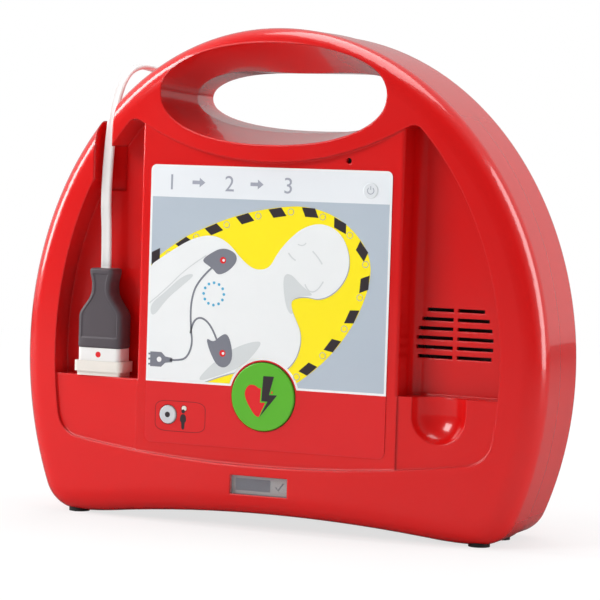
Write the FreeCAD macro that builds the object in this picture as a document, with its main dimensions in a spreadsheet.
import FreeCAD, Part
import Sketcher
import math
import os
import re
from FreeCAD import Placement, Rotation, Vector

# A portable defibrillator: a red two-shell case with a grip, a keypad panel between two bays,
# an electrode plug parked in the left bay, a loudspeaker behind the right one, and at the
# back the electrode packet behind a hinged cover and a battery pack that slides out.
# +X is to the right, +Y runs from the front to the back, +Z is up. The case stands on Z = 0.
# "Deep" is the distance behind the front-most point of the case.

doc = FreeCAD.newDocument("defibrillator")
sheet = doc.addObject("Spreadsheet::Sheet", "sizes")

SIZES = {
    # case outline, seen from the front
    "case_half": 160, "case_rise": 187, "belly_height": 95, "foot_turn": 22, "arch_rise": 7.7,
    "case_deep": 132, "crown_radius": 925, "rim_roll": 14, "back_roll": 5, "shell_wall": 3,
    "seam_deep": 45, "layer_deep": 80, "seam_step": 0.8,
    # recess with the keypad panel, the two bays and their ledges
    "recess_half": 136.5, "recess_rise": 175, "sill_height": 36.5, "sill_radius": 850,
    "recess_corner": 16, "recess_peak": 6, "brow_height": 207, "brow_radius": 166,
    "panel_half": 80, "panel_deep": 4, "bay_deep": 25, "ledge_height": 81, "ledge_deep": 1.5,
    "panel_edge": 2, "bay_foot": 6,
    "scoop_place": 104, "scoop_radius": 17, "scoop_rise": 10,
    # grip opening, an oval that narrows to the seam and then stays open, with a palm swell
    "grip_half": 69, "grip_rise": 28.5, "grip_height": 245, "grip_waist_half": 66,
    "grip_waist_rise": 19.5, "grip_waist_height": 243.5, "grip_back_half": 72.5,
    "grip_back_rise": 18, "grip_back_height": 243.8, "palm_swell": 5,
    # rear body below the grip
    "belly_half": 118, "belly_low": 5.5, "belly_top": 200, "belly_corner": 26, "belly_roll": 14,
    # electrode packet, its bay and its cover
    "bay_half": 88, "bay_low": 78, "bay_top": 188, "bay_floor": 108, "cover_thick": 3,
    "cover_gap": 0.5, "hinge_radius": 1.5, "hinge_round": 3.4, "hinge_rise": 4, "pin_seat": 2,
    "lift_radius": 14, "lift_tall": 5, "lift_deep": 6, "packet_gap": 2, "packet_thick": 16,
    "packet_round": 8,
    # battery pack and its bay
    "pack_half": 58, "pack_low": 20, "pack_tall": 46, "pack_long": 66, "pack_gap": 0.5,
    "pack_round": 3, "pull_radius": 11, "pull_deep": 6, "contact_count": 4, "contact_pitch": 12,
    "contact_wide": 4, "contact_low": 36, "contact_tall": 10, "release_place": 74,
    "release_wide": 12, "release_low": 34, "release_tall": 18, "release_sunk": 0.4,
    "release_back": 2.2, "release_gap": 0.25,
    # keypad
    "foil_half": 73.6, "foil_low": 45.8, "foil_top": 203.9, "foil_thick": 0.5, "foil_round": 4,
    "shock_radius": 19.2, "shock_height": 75.7, "shock_proud": 1.6, "key_gap": 0.3, "key_travel": 1.2,
    "child_radius": 5.2, "child_side": 59, "child_height": 62,
    "power_radius": 4.5, "power_side": 61, "power_height": 193, "lamp_radius": 1.5,
    "lamp_side": 49, "lamp_height": 66, "flange": 1.6, "flange_thick": 1.5,
    "child_proud": 1.2, "power_proud": 1, "key_edge": 0.5, "plunger": 2.5, "switch_tall": 1.8,
    "switch_radius": 3,
    # status window
    "window_half": 17.3, "window_low": 20.6, "window_tall": 10.2, "window_deep": 0.5,
    "window_frame": 1.5, "window_gap": 0.2, "display_gap": 0.6, "display_thick": 2.4,
    # speaker and microphone
    "speaker_place": 105, "speaker_height": 115.5, "speaker_radius": 24, "speaker_deep": 17,
    "speaker_lip": 3, "cone_clear": 0.4, "magnet_radius": 13, "magnet_thick": 8, "slot_rows": 6,
    "slot_tall": 1.9, "slot_pitch": 5.2, "slot_split": 2.5, "slot_half": 22.4, "slot_crest": 1.5,
    "slot_spread": 5.3,
    "mic_place": 47.2, "mic_height": 209, "mic_radius": 4.8, "mic_hole": 1.6, "mic_long": 5,
    # electrode plug, its socket and its lead
    "plug_place": 106.5, "plug_deep": 14, "plug_wide": 28.6, "plug_thick": 15.7,
    "plug_low": 97, "plug_shoulder": 114.5, "plug_waist": 132, "plug_top": 143, "waist_wide": 12.6,
    "plug_top_wide": 17, "plug_corner": 3, "panel_inset": 3.4, "panel_sunk": 0.5,
    "collar_low": 89.5, "collar_inset": 0.6, "socket_foot": 2.5, "foot_inset": 1.5,
    "tail_long": 6, "socket_low": 62, "socket_wide": 31,
    "socket_thick": 17, "socket_inset": 3, "socket_deep": 13, "socket_body": 6, "pin_radius": 1.2,
    "pin_pitch": 8, "tail_rise": 11, "lead_radius": 3.2, "notch_half": 6, "notch_deep": 27,
    "notch_low": 188, "grommet_radius": 5, "grommet_proud": 2, "entry_place": 84, "entry_deep": 113,
    # boards and what they carry
    "board_thick": 1.6, "board_half": 72, "board_low": 72, "board_top": 196, "keypad_board_low": 50,
    "keypad_board_deep": 13.5, "main_board_deep": 30, "power_board_deep": 84,
    "post_radius": 4, "post_neck": 2.4, "post_place": 66, "post_low": 84, "post_high": 172,
    "rear_post_place": 64, "rear_post_low": 84, "rear_post_high": 184, "board_screw": 1.2,
    "board_screw_long": 8, "board_head": 2.5, "board_head_tall": 1.8,
    "can_radius": 21, "can_long": 72, "can_height": 102, "can_gap": 0.3, "strap_thick": 1.5,
    "strap_wide": 8, "strap_foot": 6, "strap_lift": 2, "coil_place": 58, "coil_low": 144,
    "coil_wide": 34, "coil_tall": 30, "coil_thick": 26, "relay_place": 12, "relay_low": 146,
    "relay_wide": 30, "relay_tall": 20, "relay_thick": 15, "chip_thick": 1.6, "ribbon_wide": 24,
    "ribbon_height": 120, "ribbon_thick": 1, "bridge_place": 50, "bridge_wide": 6,
    "bridge_low": 110, "bridge_tall": 16,
    # seam, fasteners and feet
    "gasket_inset": 1.2, "gasket_wide": 1, "gasket_deep": 1, "boss_radius": 4.8, "boss_inset": 16,
    "low_boss_place": 137.6, "low_boss_height": 30, "top_boss_place": 20, "top_boss_drop": 7,
    "pilot_deep": 22, "screw_radius": 2, "screw_head": 3.9, "screw_long": 38, "head_tall": 3,
    "head_sunk": 2, "screw_gap": 0.2, "screw_fit": 0.05, "foot_radius": 6, "foot_gap": 0.1,
    "foot_tall": 2.4, "foot_proud": 0.8, "front_foot_deep": 22, "middle_foot_deep": 56,
    "rear_foot_tall": 7, "rear_foot_side": 84, "rear_foot_deep": 111,
}

for row, (alias, amount) in enumerate(SIZES.items(), start=1):
    sheet.set(f"A{row}", alias)
    sheet.set(f"B{row}", str(amount))
    sheet.setAlias(f"B{row}", alias)
doc.recompute()


class Sheet:
    """Read access to the sheet's cells by alias, for shapes that code works out."""

    def __getattr__(self, alias):
        return float(sheet.get(alias))


s = Sheet()
FRONT = -s.case_deep / 2
ALL = 400
MOUTH = 8
made = []


def bound(text):
    """An expression whose size names point at the sheet."""
    return re.sub(r"\b([a-z]+(?:_[a-z]+)*)\b",
                  lambda word: f"sizes.{word.group(1)}" if word.group(1) in SIZES else word.group(1),
                  text)


def place(item, x="0", deep="0", z="0"):
    """Bind an object's place; deep is measured from the front of the case."""
    item.setExpression("Placement.Base.x", bound(x))
    item.setExpression("Placement.Base.y", bound(f"{deep} - case_deep / 2"))
    item.setExpression("Placement.Base.z", bound(z))
    return item


def block(name, x, deep, z):
    """Part::Box from three pairs: where it starts, and how far it reaches."""
    item = doc.addObject("Part::Box", name)
    for side, span in zip(("Length", "Width", "Height"), (x, deep, z)):
        item.setExpression(side, bound(span[1]))
    return place(item, x[0], deep[0], z[0])


TURNS = {
    "x": Rotation(Vector(0, 1, 0), 90),
    "y": Rotation(Vector(1, 0, 0), -90),
    "z": Rotation(),
}


def rod(name, radius, reach, along, x="0", deep="0", z="0"):
    """Part::Cylinder that starts at a point and runs along +X, +Y or +Z."""
    item = doc.addObject("Part::Cylinder", name)
    item.setExpression("Radius", bound(radius))
    item.setExpression("Height", bound(reach))
    item.Placement = Placement(Vector(), TURNS[along])
    return place(item, x, deep, z)


def fused(name, items):
    item = doc.addObject("Part::MultiFuse", name)
    item.Shapes = items
    return item


def cut(name, base, tools):
    item = doc.addObject("Part::Cut", name)
    item.Base = base
    item.Tool = tools[0] if len(tools) == 1 else fused(f"{name}_tools", tools)
    return item


def solid(name, shape, deep=0):
    """Part::Feature for a shape that code works out from the sheet, in the case's own frame."""
    item = doc.addObject("Part::Feature", name)
    item.Shape = shape
    item.Placement = Placement(Vector(0, deep, 0), Rotation())
    return item


def group(name, items):
    """One node for several loose pieces of one kind."""
    item = doc.addObject("Part::Compound", name)
    item.Links = items
    return item


def keep(item, label):
    item.Label = label
    made.append(item)
    return item


def turned(name, profile, along, x="0", deep="0", z="0"):
    """PartDesign body turned about its own axis from a closed profile of (radius, height)."""
    body = doc.addObject("PartDesign::Body", name)
    sketch = body.newObject("Sketcher::SketchObject", f"{name}_profile")
    plane = [f for f in body.Origin.OriginFeatures if f.Role == "XZ_Plane"][0]
    sketch.AttachmentSupport = [(plane, "")]
    sketch.MapMode = "FlatFace"
    count = len(profile)
    for i in range(count):
        ends = [-2 * math.pi * step / count for step in (i, i + 1)]
        here, there = (Vector(5 + 3 * math.cos(turn), 5 + 3 * math.sin(turn), 0) for turn in ends)
        sketch.addGeometry(Part.LineSegment(here, there))
    for i in range(count):
        sketch.addConstraint(Sketcher.Constraint("Coincident", i, 2, (i + 1) % count, 1))
    for i, (radius, height) in enumerate(profile):
        for kind, axis, size in (("DistanceX", -2, radius), ("DistanceY", -1, height)):
            if size == "0":
                sketch.addConstraint(Sketcher.Constraint("PointOnObject", i, 1, axis))
            else:
                n = sketch.addConstraint(Sketcher.Constraint(kind, -1, 1, i, 1, 1.0 + i))
                sketch.setExpression(f"Constraints[{n}]", bound(size))
    spin = body.newObject("PartDesign::Revolution", f"{name}_turn")
    spin.Profile = sketch
    spin.ReferenceAxis = (sketch, ["V_Axis"])
    spin.Angle = 360
    body.Tip = spin
    body.Placement = Placement(Vector(), TURNS[along])
    return place(body, x, deep, z)


def plate(name, wide, tall, thick, round_corner, x="0", deep="0", z="0"):
    """PartDesign body: a flat plate standing upright, with its four corners rounded."""
    body = doc.addObject("PartDesign::Body", name)
    sketch = body.newObject("Sketcher::SketchObject", f"{name}_face")
    plane = [f for f in body.Origin.OriginFeatures if f.Role == "XZ_Plane"][0]
    sketch.AttachmentSupport = [(plane, "")]
    sketch.MapMode = "FlatFace"
    corners = [Vector(-1, -1, 0), Vector(1, -1, 0), Vector(1, 1, 0), Vector(-1, 1, 0)]
    for i in range(4):
        sketch.addGeometry(Part.LineSegment(corners[i], corners[(i + 1) % 4]))
    for i in range(4):
        sketch.addConstraint(Sketcher.Constraint("Coincident", i, 2, (i + 1) % 4, 1))
    for i, kind in enumerate(("Horizontal", "Vertical", "Horizontal", "Vertical")):
        sketch.addConstraint(Sketcher.Constraint(kind, i))
    sketch.addConstraint(Sketcher.Constraint("Symmetric", 0, 1, 2, 1, -1, 1))
    for kind, line, size in (("DistanceX", 0, wide), ("DistanceY", 1, tall)):
        n = sketch.addConstraint(Sketcher.Constraint(kind, line, 1, line, 2, 2.0))
        sketch.setExpression(f"Constraints[{n}]", bound(size))
    pad = body.newObject("PartDesign::Pad", f"{name}_pad")
    pad.Profile = sketch
    pad.Reversed = True
    pad.setExpression("Length", bound(thick))
    body.Tip = pad
    place(body, x, deep, z)
    doc.recompute()
    if round_corner:
        uprights = [f"Edge{n}" for n, edge in enumerate(pad.Shape.Edges, start=1)
                    if abs(edge.tangentAt(edge.FirstParameter).y) > 0.99]
        fillet = body.newObject("PartDesign::Fillet", f"{name}_corners")
        fillet.Base = (pad, uprights)
        fillet.setExpression("Radius", bound(round_corner))
        body.Tip = fillet
    return body


# ---- Case outline and the spaces in it ---------------------------------------------------

def outline(inset, deep):
    """Face of the case's outline, drawn in by inset: an upper ellipse, two foot turns and a
    shallow arch between the feet, all tangent. Also gives how far out the feet stand."""
    half = s.case_half - inset
    rise = s.case_rise - inset
    turn = s.foot_turn - inset
    floor = s.foot_proud + inset
    y = FRONT + deep
    low, high = math.radians(-89), 0.0
    for _ in range(60):
        angle = (low + high) / 2
        out = Vector(math.cos(angle) / half, 0, math.sin(angle) / rise).normalize()
        if s.belly_height + rise * math.sin(angle) - turn * out.z - turn > floor:
            high = angle
        else:
            low = angle
    side = Vector(half * math.cos(angle), y, s.belly_height + rise * math.sin(angle))
    centre = side - out * turn
    corner = centre + (out + Vector(0, 0, -1)).normalize() * turn
    sole = Vector(centre.x, y, floor)
    both = (centre.x ** 2 + s.arch_rise ** 2) / (2 * s.arch_rise)
    sole_radius = 0.21 * both

    def sole_at(x):
        return Vector(x, y, floor + sole_radius - math.sqrt(sole_radius ** 2 - (centre.x - x) ** 2))

    meet = sole_at(centre.x * (1 - sole_radius / both))
    halfway = sole_at((centre.x + meet.x) / 2)
    right = [(side, corner, sole), (sole, halfway, meet)]
    left = [tuple(Vector(-p.x, p.y, p.z) for p in reversed(arc)) for arc in reversed(right)]
    middle = (meet, Vector(0, y, floor + s.arch_rise), Vector(-meet.x, y, meet.z))
    ellipse = Part.Ellipse(Vector(0, y, s.belly_height + rise), Vector(half, y, s.belly_height),
                           Vector(0, y, s.belly_height))
    edges = [ellipse.toShape(angle - math.pi / 2, math.pi / 2 - angle)]
    edges += [Part.Arc(*arc).toShape() for arc in right + [middle] + left]
    return Part.Face(Part.Wire(edges)), centre.x


def prism(inset, start, end):
    return outline(inset, start)[0].extrude(Vector(0, end - start, 0))


def crown(inset):
    """Everything behind the front's crowned surface, drawn in by inset."""
    return Part.makeCylinder(s.crown_radius - inset, ALL, Vector(0, FRONT + s.crown_radius, -ALL / 4))


def on_crown(edge, inset):
    centre = FRONT + s.crown_radius
    return all(abs(math.hypot(p.x, p.y - centre) - s.crown_radius + inset) < 0.001
               for p in edge.discretize(5))


def cuboid(x0, x1, deep0, deep1, z0, z1):
    return Part.makeBox(x1 - x0, deep1 - deep0, z1 - z0, Vector(x0, FRONT + deep0, z0))


def bar(radius, deep0, deep1, x, z):
    """Cylinder along the depth."""
    return Part.makeCylinder(radius, deep1 - deep0, Vector(x, FRONT + deep0, z), Vector(0, 1, 0))


def upright(radius, x, deep, z0, z1):
    return Part.makeCylinder(radius, z1 - z0, Vector(x, FRONT + deep, z0))


def oval(half, rise, height, deep):
    y = FRONT + deep
    if rise > half:
        return Part.Wire(Part.Ellipse(Vector(0, y, height + rise), Vector(half, y, height),
                                      Vector(0, y, height)).toShape())
    return Part.Wire(Part.Ellipse(Vector(half, y, height), Vector(0, y, height - rise),
                                  Vector(0, y, height)).toShape())


def grip_ring(grow, deep, share, first, second):
    """Loop of the grip opening between two of its sections, each (half, rise, height, swell).
    The loop is an oval whose top sags by the swell in the middle, for the palm."""
    half, rise, height, swell = (a + share * (b - a) for a, b in zip(first, second))
    points = []
    for step in range(32):
        turn = 2 * math.pi * step / 32
        x = math.copysign(abs(math.cos(turn)) ** 0.9, math.cos(turn))
        z = math.copysign(abs(math.sin(turn)) ** 0.9, math.sin(turn))
        sag = swell * max(0, z) * math.cos(math.pi * x / 2) ** 2
        points.append(Vector((half + grow) * x, FRONT + deep, height + (rise + grow) * z - sag))
    loop = Part.BSplineCurve()
    loop.interpolate(Points=points, PeriodicFlag=True)
    return Part.Wire(loop.toShape())


GRIP_FRONT = (s.grip_half, s.grip_rise, s.grip_height, 0)
GRIP_WAIST = (s.grip_waist_half, s.grip_waist_rise, s.grip_waist_height, s.palm_swell)
GRIP_BACK = (s.grip_back_half, s.grip_back_rise, s.grip_back_height, s.palm_swell / 2)


def front_grip(grow):
    """The grip opening in front of the seam, grown by a wall."""
    over = MOUTH / s.seam_deep
    return Part.makeLoft([grip_ring(grow, deep, share, GRIP_FRONT, GRIP_WAIST) for deep, share in (
        (-MOUTH, -over), (s.seam_deep + MOUTH, 1 + over))], True, True)


def rear_grip(grow):
    """The grip opening behind the seam, grown by a wall."""
    over = MOUTH / (s.layer_deep - s.seam_deep)
    return Part.makeLoft([grip_ring(grow, deep, share, GRIP_WAIST, GRIP_BACK) for deep, share in (
        (s.seam_deep - MOUTH, -over), (s.layer_deep + MOUTH, 1 + over))], True, True)


def recess(grow, start, end):
    """The recess grown by a wall: an ellipse with a curved sill, under the grip's brow."""
    ellipse = Part.Face(oval(s.recess_half + grow, s.recess_rise + grow, s.belly_height, start))
    space = ellipse.extrude(Vector(0, end - start, 0))
    sill = bar(s.sill_radius + grow, start, end, 0, s.sill_height + s.sill_radius)
    brow = bar(s.brow_radius - grow, start - 1, end + 1, 0, s.brow_height + s.brow_radius)
    space = space.common(sill).cut(brow)
    lower = [edge for edge in space.Edges if edge.BoundBox.YLength > 1
             and edge.BoundBox.ZMax < s.ledge_height]
    space = space.makeFillet(s.recess_corner + grow, lower)
    peaks = [edge for edge in space.Edges if edge.BoundBox.YLength > 1
             and edge.BoundBox.ZMin > s.brow_height and abs(edge.BoundBox.XMin) > s.grip_half]
    return space.makeFillet(s.recess_peak + grow, peaks)


def side_box(grow, low, start, end):
    """Both stretches of the recess beside the panel, above a height."""
    reach = s.case_half
    right = cuboid(s.panel_half - grow, reach, start, end, low, ALL)
    return right.fuse(cuboid(-reach, -s.panel_half + grow, start, end, low, ALL))


def bay_space(grow, side):
    """One bay grown by a wall: its side is rounded over onto the panel and runs into the floor
    with a foot turn. Grown, the rounding over the panel's edge comes out sharp."""
    wall = s.panel_half - grow
    floor = s.bay_deep + grow
    foot = s.bay_foot + grow
    crest = max(s.panel_edge - grow, 0)
    low = s.ledge_height - grow

    def at(x, deep):
        return Vector(side * x, FRONT + deep, low)

    def turn(x, deep, radius, angle):
        return at(x + radius * math.cos(math.radians(angle)), deep + radius * math.sin(math.radians(angle)))

    edges = [Part.LineSegment(at(wall - crest, -s.case_deep), at(s.case_half, -s.case_deep)),
             Part.LineSegment(at(s.case_half, -s.case_deep), at(s.case_half, floor)),
             Part.LineSegment(at(s.case_half, floor), at(wall + foot, floor)),
             Part.Arc(*(turn(wall + foot, floor - foot, foot, angle) for angle in (90, 135, 180)))]
    top = s.panel_deep + grow
    edges.append(Part.LineSegment(at(wall, floor - foot), at(wall, top + crest)))
    if crest:
        edges.append(Part.Arc(*(turn(wall - crest, top + crest, crest, angle) for angle in (0, -45, -90))))
    edges.append(Part.LineSegment(at(wall - crest, top), at(wall - crest, -s.case_deep)))
    profile = Part.Face(Part.Wire([edge.toShape() for edge in edges]))
    return profile.extrude(Vector(0, 0, ALL))


def carved(grow):
    """What is hollowed out of the front, grown by a wall: shallow over the panel, stepped back
    a little over the ledges, and deep in the two bays above them."""
    shallow = recess(grow, -MOUTH, s.bay_deep + grow)
    over_panel = shallow.common(cuboid(-ALL, ALL, -MOUTH, s.panel_deep + grow, 0, ALL))
    ledge = shallow.cut(crown(s.ledge_deep + grow))
    ledge = ledge.common(side_box(grow, 0, -MOUTH, s.bay_deep))
    bays = [shallow.common(bay_space(grow, side)) for side in (-1, 1)]
    scoop_low = s.ledge_height - s.scoop_rise
    scoop = upright(s.scoop_radius + grow, s.scoop_place, 0, scoop_low, s.ledge_height + 1)
    bowl = Part.makeSphere(s.scoop_radius + grow, Vector(s.scoop_place, FRONT, scoop_low))
    notch = cuboid(-s.plug_place - s.notch_half - grow, -s.plug_place + s.notch_half + grow,
                   -MOUTH, s.notch_deep + grow, s.notch_low, ALL)
    return over_panel.fuse(bays + [ledge, scoop, bowl, notch]).removeSplitter()


# ---- Front shell --------------------------------------------------------------------------

foot_out = outline(0, 0)[1]
bosses = [(side * x, z) for side in (-1, 1) for x, z in (
    (s.case_half - s.boss_inset, s.belly_height), (s.low_boss_place, s.low_boss_height),
    (s.grip_half + s.top_boss_place, s.grip_height - s.top_boss_drop))]
front_posts = [(side * s.post_place, z) for side in (-1, 1) for z in (s.post_low, s.post_high)]
feet = [(side * foot_out, deep, s.foot_tall) for side in (-1, 1)
        for deep in (s.front_foot_deep, s.middle_foot_deep)]
feet += [(side * s.rear_foot_side, s.rear_foot_deep, s.rear_foot_tall) for side in (-1, 1)]
foot_pockets = [upright(s.foot_radius + s.foot_gap, x, deep, -1, tall) for x, deep, tall in feet]
rows = [s.speaker_height + (row - (s.slot_rows - 1) / 2) * s.slot_pitch
        for row in range(int(s.slot_rows))]


def grille():
    """Slots in two columns, long near the crest row and shorter above and below it."""
    slots = []
    for row, z in enumerate(rows):
        reach = s.slot_half * math.sqrt(1 - ((row - s.slot_crest) / s.slot_spread) ** 2)
        for side in (-1, 1):
            ends = sorted((s.speaker_place + side * s.slot_split / 2, s.speaker_place + side * reach))
            slots.append(cuboid(ends[0], ends[1], s.bay_deep - 1, s.bay_deep + s.shell_wall + 1,
                                z - s.slot_tall / 2, z + s.slot_tall / 2))
    return slots


panel_back = s.panel_deep + s.shell_wall
outer = prism(0, -MOUTH, s.seam_deep).common(crown(0))
outer = outer.makeFillet(s.rim_roll, [edge for edge in outer.Edges if on_crown(edge, 0)])
inside = prism(s.shell_wall, 0, s.seam_deep + 1).common(crown(s.shell_wall))
inside = inside.makeFillet(s.rim_roll - s.shell_wall,
                           [edge for edge in inside.Edges if on_crown(edge, s.shell_wall)])
inside = inside.cut([carved(s.shell_wall), front_grip(s.shell_wall)])
front = outer.cut(inside)
bars = [bar(s.boss_radius, 0, s.seam_deep, x, z) for x, z in bosses]
bars += [bar(s.post_radius, s.panel_deep, s.keypad_board_deep, x, z) for x, z in front_posts]
bars += [bar(s.post_neck, s.panel_deep, s.main_board_deep, x, z) for x, z in front_posts]
front = front.fuse(outer.common(Part.makeCompound(bars))).removeSplitter()

tools = [carved(0), front_grip(0)] + foot_pockets + grille()
tools += [bar(s.screw_radius + s.screw_fit, s.seam_deep - s.pilot_deep, s.seam_deep + 1, x, z)
          for x, z in bosses]
tools += [bar(s.board_screw + s.screw_fit, s.main_board_deep - s.board_screw_long, ALL, x, z)
          for x, z in front_posts]
tools += [bar(radius, 0, panel_back + 1, x, z) for radius, x, z in (
    (s.shock_radius + s.key_gap, 0, s.shock_height),
    (s.child_radius + s.key_gap, -s.child_side, s.child_height),
    (s.power_radius + s.key_gap, s.power_side, s.power_height),
    (s.lamp_radius + s.screw_fit, -s.lamp_side, s.lamp_height),
    (s.mic_hole, s.mic_place, s.mic_height))]
tools.append(cuboid(-s.window_half - s.window_gap, s.window_half + s.window_gap, -MOUTH,
                    s.shell_wall + 2, s.window_low - s.window_gap,
                    s.window_low + s.window_tall + s.window_gap))
socket_half = s.socket_wide / 2 - s.socket_inset
tools.append(cuboid(-s.plug_place - socket_half - s.window_gap,
                    -s.plug_place + socket_half + s.window_gap,
                    s.socket_deep - s.window_gap, s.socket_deep + s.socket_body + s.window_gap,
                    s.ledge_height - s.shell_wall - 1, s.ledge_height + 1))
groove = prism(s.gasket_inset, s.seam_deep - s.gasket_deep, s.seam_deep)
groove = groove.cut(prism(s.gasket_inset + s.gasket_wide, s.seam_deep - s.gasket_deep, s.seam_deep))
front = front.cut(tools + [groove])
keep(solid("front_shell", front), "front_shell")
keep(solid("seam_gasket", groove), "seam_gasket")

# ---- Rear shell: a flat layer behind the seam, and the body below the grip ------------------

back_wall = s.case_deep - s.shell_wall


def belly(inset, start, roll):
    """The rear body drawn in by inset, with rounded corners and a rolled back edge."""
    half = s.belly_half - inset
    end = s.case_deep - inset
    body = cuboid(-half, half, start, end, s.belly_low + inset, s.belly_top - inset)
    length = end - start
    body = body.makeFillet(s.belly_corner - inset,
                           [edge for edge in body.Edges if abs(edge.BoundBox.YLength - length) < 1])
    return body.makeFillet(roll, [edge for edge in body.Edges if edge.BoundBox.YMin > FRONT + end - 1])


def layer(inset, start, end, roll):
    body = prism(s.seam_step + inset, start, end)
    return body.makeFillet(roll, [edge for edge in body.Edges if edge.BoundBox.YMin > FRONT + end - 1])


def packet_bay(grow):
    return cuboid(-s.bay_half - grow, s.bay_half + grow, s.bay_floor - grow, ALL,
                  s.bay_low - grow, s.bay_top + grow)


def pack_bay(grow):
    side = s.pack_gap + grow
    return cuboid(-s.pack_half - side, s.pack_half + side, s.case_deep - s.pack_long - side, ALL,
                  s.pack_low - side, s.pack_low + s.pack_tall + side)


rear_outer = layer(0, s.seam_deep, s.layer_deep, s.back_roll).fuse(belly(0, s.seam_deep, s.belly_roll))
hollow = layer(s.shell_wall, s.seam_deep - 1, s.layer_deep - s.shell_wall, s.back_roll - s.shell_wall)
hollow = hollow.fuse(belly(s.shell_wall, s.seam_deep - 1, s.belly_roll - s.shell_wall))
hollow = hollow.cut([packet_bay(s.shell_wall), pack_bay(s.shell_wall),
                     rear_grip(s.shell_wall)])
rear = rear_outer.cut(hollow)
rear_posts = [(side * s.rear_post_place, z) for side in (-1, 1)
              for z in (s.rear_post_low, s.rear_post_high)]
power_back = s.power_board_deep + s.board_thick
bars = [bar(s.boss_radius, s.seam_deep, s.layer_deep, x, z) for x, z in bosses]
bars += [bar(s.post_radius, power_back, s.bay_floor - s.shell_wall, x, z) for x, z in rear_posts]
rear = rear.fuse(rear_outer.common(Part.makeCompound(bars)))

grommet_low = s.bay_top - 1
tools = [packet_bay(0), pack_bay(0), rear_grip(0)] + foot_pockets
tools += [bar(s.screw_radius + s.screw_gap, s.seam_deep - 1, s.layer_deep + 1, x, z) for x, z in bosses]
head_deep = s.layer_deep - s.head_sunk - s.head_tall
tools += [bar(s.screw_head + s.screw_gap, head_deep, s.layer_deep + 1, x, z) for x, z in bosses]
tools += [bar(s.board_screw + s.screw_fit, power_back - 1, power_back + s.board_screw_long, x, z)
          for x, z in rear_posts]
tools.append(upright(s.grommet_radius + s.screw_fit, -s.entry_place, s.entry_deep, grommet_low, ALL))
for side in (-1, 1):
    tools.append(Part.makeCylinder(s.hinge_radius + s.screw_fit, s.pin_seat,
                                   Vector(side * (s.bay_half + (s.pin_seat if side < 0 else 0)),
                                          FRONT + s.case_deep - s.hinge_round,
                                          s.bay_low + s.hinge_rise), Vector(1, 0, 0)))
contact_x = [(step - (s.contact_count - 1) / 2) * s.contact_pitch
             for step in range(int(s.contact_count))]
pack_front = s.case_deep - s.pack_long
tools += [cuboid(x - s.contact_wide / 2, x + s.contact_wide / 2, 0, pack_front,
                 s.contact_low, s.contact_low + s.contact_tall) for x in contact_x]
tools.append(cuboid(s.release_place - s.release_gap, s.release_place + s.release_wide + s.release_gap,
                    back_wall - 1, ALL, s.release_low - s.release_gap,
                    s.release_low + s.release_tall + s.release_gap))
rear = rear.cut(tools)
keep(solid("rear_shell", rear), "rear_shell")
print("shells", front.isValid(), len(front.Solids), rear.isValid(), len(rear.Solids))

# ---- Keypad: printed film, three keys, a lamp, their board and switches ---------------------

foil_tall = "(foil_top - foil_low)"
film = plate("film_blank", "2 * foil_half", foil_tall, "foil_thick", "foil_round",
             deep="panel_deep - foil_thick", z="foil_low + (foil_top - foil_low) / 2")
film_holes = [rod(f"film_hole_{name}", f"{radius} + 2 * key_gap", "shell_wall", "y", x,
                  "panel_deep - foil_thick - 1", z)
              for name, radius, x, z in (
                  ("shock", "shock_radius", "0", "shock_height"),
                  ("child", "child_radius", "-child_side", "child_height"),
                  ("power", "power_radius", "power_side", "power_height"),
                  ("lamp", "lamp_radius", "-lamp_side", "lamp_height"))]
keep(cut("film", film, film_holes), "keypad_foil")


def key(name, radius, proud, x, z):
    """A round key with a flange behind the panel and a plunger that ends above its switch."""
    cap = f"{proud} + shell_wall + key_gap"
    back = f"{cap} + flange_thick"
    tip = f"keypad_board_deep - switch_tall - key_travel - 0.1 - panel_deep + {proud}"
    profile = [("0", "0"), (f"{radius} - key_edge", "0"), (radius, "key_edge"), (radius, cap),
               (f"{radius} + flange", cap), (f"{radius} + flange", back), ("plunger", back),
               ("plunger", tip), ("0", tip)]
    return turned(name, profile, "y", x, f"panel_deep - {proud}", z)


keep(key("shock_key", "shock_radius", "shock_proud", "0", "shock_height"), "shock_button")
keep(key("child_key", "child_radius", "child_proud", "-child_side", "child_height"), "child_button")
keep(key("power_key", "power_radius", "power_proud", "power_side", "power_height"), "power_button")
keep(rod("lamp", "lamp_radius", "keypad_board_deep - panel_deep + foil_thick", "y",
         "-lamp_side", "panel_deep - foil_thick", "lamp_height"), "child_lamp")

KEY_PLACES = (("0", "shock_height"), ("-child_side", "child_height"), ("power_side", "power_height"))
keep(group("switches", [rod(f"switch_{n}", "switch_radius", "switch_tall", "y", x,
                            "keypad_board_deep - switch_tall", z)
                        for n, (x, z) in enumerate(KEY_PLACES)]), "key_switches")


def board(label, deep, low, top, posts, hole):
    """Circuit board with a hole over each of its four posts."""
    blank = block(f"{label}_blank", ("-board_half", "2 * board_half"), (deep, "board_thick"),
                  (low, f"{top} - {low}"))
    holes = [rod(f"{label}_hole_{n}", hole, "3 * board_thick", "y", f"{sign}{posts[0]}",
                 f"{deep} - board_thick", z)
             for n, (sign, z) in enumerate((sign, z) for sign in ("-", "") for z in posts[1:])]
    return keep(cut(label, blank, holes), label)


FRONT_POSTS = ("post_place", "post_low", "post_high")
REAR_POSTS = ("rear_post_place", "rear_post_low", "rear_post_high")
board("keypad_board", "keypad_board_deep", "keypad_board_low", "board_top", FRONT_POSTS,
      "post_neck + screw_gap")
board("main_board", "main_board_deep", "board_low", "board_top", FRONT_POSTS,
      "board_screw + screw_gap")
board("power_board", "power_board_deep", "board_low", "board_top", REAR_POSTS,
      "board_screw + screw_gap")


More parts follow.
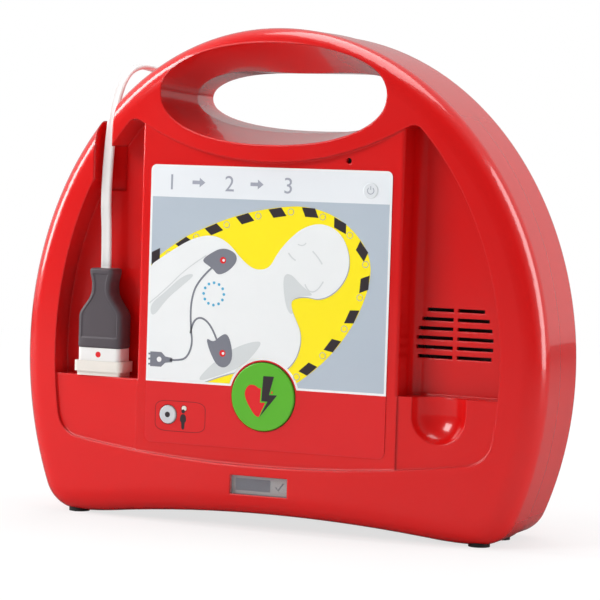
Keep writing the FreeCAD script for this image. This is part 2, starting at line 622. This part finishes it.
def screw(name, radius, head, tall, long, x, deep, z, backwards):
    """Screw whose head seats at a depth; its shank runs back, or forward when backwards."""
    if backwards:
        profile = [("0", "0"), (head, "0"), (head, tall), (radius, tall), (radius, f"{tall} + {long}"),
                   ("0", f"{tall} + {long}")]
        return turned(name, profile, "y", x, f"{deep} - {tall}", z)
    profile = [("0", "0"), (radius, "0"), (radius, long), (head, long), (head, f"{long} + {tall}"),
               ("0", f"{long} + {tall}")]
    return turned(name, profile, "y", x, f"{deep} - {long}", z)


def board_screws(label, posts, deep, backwards):
    items = [screw(f"{label}_{n}", "board_screw", "board_head", "board_head_tall", "board_screw_long",
                   f"{sign}{posts[0]}", deep, z, backwards)
             for n, (sign, z) in enumerate((sign, z) for sign in ("-", "") for z in posts[1:])]
    return keep(group(label, items), label)


board_screws("main_board_screws", FRONT_POSTS, "main_board_deep + board_thick", False)
board_screws("power_board_screws", REAR_POSTS, "power_board_deep", True)
CASE_SCREWS = (("case_half - boss_inset", "belly_height"), ("low_boss_place", "low_boss_height"),
               ("grip_half + top_boss_place", "grip_height - top_boss_drop"))
keep(group("screws", [screw(f"case_screw_{n}", "screw_radius", "screw_head", "head_tall", "screw_long",
                            f"{sign} * ({x})", "layer_deep - head_sunk - head_tall", z, False)
                      for n, (sign, x, z) in enumerate((sign, x, z) for sign in ("-1", "1")
                                                       for x, z in CASE_SCREWS)]), "case_screws")

# ---- What the boards carry ------------------------------------------------------------------

main_back = "main_board_deep + board_thick"
CHIPS = (("processor", "-30", "22", "130", "22"), ("memory", "8", "14", "134", "20"),
         ("voice_chip", "35", "12", "100", "12"))
keep(group("chips", [block(name, (x, wide), (main_back, "chip_thick"), (z, tall))
                     for name, x, wide, z, tall in CHIPS]), "main_chips")
keep(block("ribbon", ("-ribbon_wide / 2", "ribbon_wide"),
           ("keypad_board_deep + board_thick", "main_board_deep - keypad_board_deep - board_thick"),
           ("ribbon_height", "ribbon_thick")), "keypad_ribbon")
keep(block("board_bridge", ("bridge_place", "bridge_wide"),
           (main_back, "power_board_deep - main_board_deep - board_thick"),
           ("bridge_low", "bridge_tall")), "board_connector")
can_deep = "power_board_deep - can_radius - can_gap"
keep(rod("can", "can_radius", "can_long", "x", "-can_long / 2", can_deep, "can_height"), "energy_capacitor")


def strap(name, x):
    """Band over the capacitor with a foot on the board at each side."""
    foot_deep = "power_board_deep - strap_lift"
    ring = rod(f"{name}_ring", "can_radius + can_gap + strap_thick", "strap_wide", "x", x,
               can_deep, "can_height")
    bore = rod(f"{name}_bore", "can_radius + can_gap", "3 * strap_wide", "x", f"{x} - strap_wide",
               can_deep, "can_height")
    behind = block(f"{name}_behind", (f"{x} - strap_wide", "3 * strap_wide"), (foot_deep, "2 * can_radius"),
                   ("can_height - 2 * can_radius", "4 * can_radius"))
    reach = "can_radius / 2 + strap_foot"
    feet_blocks = [block(f"{name}_foot_{n}", (x, "strap_wide"), (foot_deep, "strap_lift"), (low, reach))
                   for n, low in enumerate(("can_height + can_radius / 2",
                                            "can_height - can_radius - strap_foot"))]
    return fused(name, [cut(f"{name}_band", ring, [bore, behind])] + feet_blocks)


keep(group("straps", [strap("strap_left", "-can_long / 3 - strap_wide / 2"),
                      strap("strap_right", "can_long / 3 - strap_wide / 2")]), "capacitor_clamp")
keep(block("coil", ("-coil_place", "coil_wide"), ("power_board_deep - coil_thick", "coil_thick"),
           ("coil_low", "coil_tall")), "charge_transformer")
keep(block("relay", ("-relay_place", "relay_wide"), ("power_board_deep - relay_thick", "relay_thick"),
           ("relay_low", "relay_tall")), "discharge_relay")

# ---- Status window --------------------------------------------------------------------------

keep(block("window", ("-window_half", "2 * window_half"), ("window_deep", "shell_wall - window_deep"),
           ("window_low", "window_tall")), "status_window")
display_deep = "shell_wall + display_gap"
keep(block("display", ("-window_half - window_frame", "2 * (window_half + window_frame)"),
           (display_deep, "display_thick"),
           ("window_low - window_frame", "window_tall + 2 * window_frame")), "status_display")
keep(block("status_card", ("-window_half - 2 * window_frame", "2 * (window_half + 2 * window_frame)"),
           (f"{display_deep} + display_thick", "board_thick"),
           ("window_low - window_frame", "window_tall + 2 * window_frame")), "status_board")

# ---- Sound: speaker behind the right bay, microphone behind the panel -------------------------

speaker_face = "bay_deep + shell_wall"
lip = "speaker_radius - speaker_lip"
hub = "magnet_radius - speaker_lip"
cone_edge = f"{lip} - cone_clear"
RING = [(lip, "0"), ("speaker_radius", "0"), ("speaker_radius", "1"), (lip, "1")]
BASKET = [(lip, "1"), ("speaker_radius", "1"), ("speaker_radius", "2.5"),
          ("magnet_radius", "speaker_deep - 4"), ("magnet_radius", "speaker_deep - 2"),
          (hub, "speaker_deep - 2"), (hub, "speaker_deep - 5"), (lip, "3")]
CONE = [("0", "7.5"), ("6", "8"), (cone_edge, "1.3"), (cone_edge, "2"), ("6.3", "9"), ("0", "9")]
for name, profile, label in (("speaker_ring", RING, "speaker_gasket"),
                             ("basket", BASKET, "speaker_basket"), ("cone", CONE, "speaker_cone")):
    keep(turned(name, profile, "y", "speaker_place", speaker_face, "speaker_height"), label)
keep(rod("magnet", "magnet_radius", "magnet_thick", "y", "speaker_place",
         f"{speaker_face} + speaker_deep - 2", "speaker_height"), "speaker_magnet")
keep(rod("capsule", "mic_radius", "mic_long", "y", "mic_place", "panel_deep + shell_wall", "mic_height"),
     "microphone")

# ---- Electrode socket, plug and lead ----------------------------------------------------------


def rounded(wide, thick, corner, z, top):
    """Upright block with rounded corners, centred on the plug."""
    corner_at = Vector(-s.plug_place - wide / 2, FRONT + s.plug_deep - thick / 2, z)
    block_shape = Part.makeBox(wide, thick, top - z, corner_at)
    return block_shape.makeFillet(corner, [edge for edge in block_shape.Edges
                                           if edge.BoundBox.XLength + edge.BoundBox.YLength < 0.001])


def plug_face(inset, deep):
    """The plug seen from the front, drawn in by inset: straight sides up to the shoulder, a
    hollow flank, a waist and a flared top."""
    half = s.plug_wide / 2 - inset
    waist = s.waist_wide / 2 - inset
    top_half = s.plug_top_wide / 2 - inset
    low = s.plug_low + inset
    high = s.plug_top - inset
    bend = (s.plug_shoulder + s.plug_waist) / 2
    flare = (s.plug_waist + s.plug_top) / 2
    bow = 0.7 * waist + 0.3 * half

    def at(x, z):
        return Vector(x - s.plug_place, FRONT + deep, z)

    edges = [Part.LineSegment(at(-half, low), at(half, low))]
    for side in (1, -1):
        flank = [Part.LineSegment(at(side * half, low), at(side * half, s.plug_shoulder)),
                 Part.Arc(at(side * half, s.plug_shoulder), at(side * bow, bend),
                          at(side * waist, s.plug_waist)),
                 Part.Arc(at(side * waist, s.plug_waist), at(side * (0.75 * waist + 0.25 * top_half), flare),
                          at(side * top_half, high))]
        edges += flank
    edges.append(Part.LineSegment(at(-top_half, high), at(top_half, high)))
    return Part.Face(Part.Wire(Part.__sortEdges__([edge.toShape() for edge in edges])))


socket_foot = s.ledge_height + s.socket_foot
socket = rounded(s.socket_wide, s.socket_thick, s.plug_corner, socket_foot, s.collar_low)
socket = socket.fuse([rounded(s.socket_wide - 2 * s.foot_inset, s.socket_thick - 2 * s.foot_inset,
                              s.plug_corner - s.foot_inset, s.ledge_height, socket_foot),
                      cuboid(-s.plug_place - socket_half, -s.plug_place + socket_half, s.socket_deep,
                             s.socket_deep + s.socket_body, s.socket_low, s.ledge_height)])
pin_deep = s.socket_deep + s.socket_body / 2
pin_x = [-s.plug_place + step * s.pin_pitch for step in (-1, 0, 1)]
socket = socket.cut([upright(s.pin_radius + s.screw_fit, x, pin_deep, 0, ALL) for x in pin_x])
keep(solid("socket", socket), "electrode_socket")
pin_tip = s.socket_low + s.tail_rise
keep(group("pins", [solid(f"pin_{n}", upright(s.pin_radius, x, pin_deep, pin_tip + s.screw_gap,
                                              s.collar_low)) for n, x in enumerate(pin_x)]), "plug_pins")
keep(group("tails", [solid(f"tail_{n}", upright(s.pin_radius, x, pin_deep, s.socket_low - s.tail_long,
                                                pin_tip)) for n, x in enumerate(pin_x)]),
     "socket_contacts")
keep(solid("collar", rounded(s.plug_wide - 2 * s.collar_inset, s.plug_thick - 2 * s.collar_inset,
                             s.plug_corner, s.collar_low, s.plug_low)), "plug_collar")
plug_front = s.plug_deep - s.plug_thick / 2
plug = plug_face(0, plug_front).extrude(Vector(0, s.plug_thick, 0))
plug = plug.cut(plug_face(s.panel_inset, plug_front - 1).extrude(Vector(0, 1 + s.panel_sunk, 0)))
keep(solid("plug", plug), "plug_body")

# Route of the lead, from the grommet in the rear body's top, over the case's shoulder and down
# through the notch to the plug: x, deep, z. Chosen by hand.
LEAD = [
    (-84, 113, 202), (-84, 113, 219), (-87.5, 104.5, 234.5), (-92.8, 92, 247),
    (-97.6, 77, 255), (-101.8, 60.5, 259.8), (-104.4, 44, 261), (-105.3, 29, 255.5),
    (-105.5, 18.8, 241.5), (-106, 14.8, 222.5), (-106.9, 13.5, 202), (-107.1, 12.5, 181),
    (-106.5, 14, 161), (-106.5, 14, 143),
]


def tube(route, radius):
    """Round tube along straight runs joined by tangent arcs, each as large as its runs allow."""
    points = [Vector(x, FRONT + deep, z) for x, deep, z in route]
    edges = []
    here = points[0]
    radii = []
    for before, at, after in zip(points, points[1:], points[2:]):
        back = (before - at).normalize()
        ahead = (after - at).normalize()
        half_turn = (math.pi - back.getAngle(ahead)) / 2
        shorter = min((before - at).Length, (after - at).Length)
        bend = 0.45 * shorter / math.tan(half_turn)
        start = at + back * 0.45 * shorter
        end = at + ahead * 0.45 * shorter
        inward = (back + ahead).normalize()
        middle = at + inward * (bend / math.cos(half_turn) - bend)
        edges.append(Part.LineSegment(here, start).toShape())
        edges.append(Part.Arc(start, middle, end).toShape())
        radii.append(round(bend, 1))
        here = end
    edges.append(Part.LineSegment(here, points[-1]).toShape())
    path = Part.Wire(edges)
    ring = Part.Wire(Part.makeCircle(radius, points[0], points[1] - points[0]))
    swept = path.makePipeShell([ring], True, False)
    print("lead radii", radii, "length", round(path.Length, 1), "volume",
          round(swept.Volume, 1), "section times length", round(math.pi * radius ** 2 * path.Length, 1))
    return swept


keep(solid("lead", tube(LEAD, s.lead_radius)), "electrode_lead")
keep(solid("grommet", upright(s.grommet_radius, -s.entry_place, s.entry_deep, s.bay_top + 0.5,
                              s.belly_top + s.grommet_proud)), "lead_grommet")

# ---- Electrode packet, its cover and hinge ----------------------------------------------------

keep(plate("packet", "2 * (bay_half - packet_gap)", "bay_top - bay_low - 2 * hinge_round - 3 * packet_gap",
           "packet_thick", "packet_round", deep="bay_floor + 0.3",
           z="(bay_top + bay_low) / 2 + hinge_round"), "electrode_packet")
cover_low = "bay_low + hinge_rise"
cover = block("cover_plate", ("-bay_half + cover_gap", "2 * (bay_half - cover_gap)"),
              ("case_deep - cover_thick", "cover_thick"),
              (cover_low, "bay_top - cover_gap - bay_low - hinge_rise"))
barrel = rod("cover_barrel", "hinge_round", "2 * (bay_half - cover_gap)", "x", "-bay_half + cover_gap",
             "case_deep - hinge_round", cover_low)
pin_bore = rod("cover_bore", "hinge_radius + screw_fit", "2 * bay_half", "x", "-bay_half",
               "case_deep - hinge_round", cover_low)
lift = rod("cover_lift", "lift_radius", "2 * lift_deep", "y", "0", "case_deep - lift_deep",
           "bay_top + lift_radius - lift_tall")
keep(cut("cover", fused("cover_blank", [cover, barrel]), [pin_bore, lift]), "packet_cover")
keep(rod("hinge_pin", "hinge_radius", "2 * (bay_half + pin_seat) - 0.4", "x", "-bay_half - pin_seat + 0.2",
         "case_deep - hinge_round", cover_low), "cover_hinge_pin")

# ---- Battery pack, its contacts and its release key ----------------------------------------------

pack = plate("pack_blank", "2 * pack_half", "pack_tall", "pack_long", "pack_round",
             deep="case_deep - pack_long", z="pack_low + pack_tall / 2")
pull = rod("pack_pull", "pull_radius", "2 * pull_deep", "y", "0", "case_deep - pull_deep",
           "pack_low + pack_tall / 2")
keep(cut("pack", pack, [pull]), "battery_pack")
keep(group("blades", [solid(f"blade_{n}", cuboid(x - s.contact_wide / 2, x + s.contact_wide / 2,
                                                 pack_front - s.shell_wall - 4, pack_front - 0.1,
                                                 s.contact_low, s.contact_low + s.contact_tall))
                      for n, x in enumerate(contact_x)]), "battery_contacts")
release = block("release_cap", ("release_place", "release_wide"),
                ("case_deep - shell_wall - release_back", "shell_wall + release_back - release_sunk"),
                ("release_low", "release_tall"))
lip = block("release_lip", ("release_place - flange", "release_wide + 2 * flange"),
            ("case_deep - shell_wall - release_back", "release_back - key_gap"),
            ("release_low - flange", "release_tall + 2 * flange"))
keep(fused("release", [release, lip]), "battery_release")

keep(group("rubber", [solid(f"foot_{n}", upright(s.foot_radius, x, deep, 0, tall))
                      for n, (x, deep, tall) in enumerate(feet)]), "rubber_feet")

# ---- Check and write ----------------------------------------------------------------------------

doc.recompute()
for item in doc.Objects:
    if "Invalid" in item.State or "Error" in item.State:
        raise RuntimeError(f"{item.Name} failed: {item.State}")
os.makedirs("parts", exist_ok=True)
for item in made:
    if item.Shape.isNull() or not item.Shape.isValid() or not item.Shape.Solids:
        raise RuntimeError(f"{item.Label} has no valid solid")
    item.Shape.exportStep(f"parts/{item.Label}.step")
    print(f"{item.Label}: {len(item.Shape.Solids)} solids, {item.Shape.Volume:.1f} mm3")
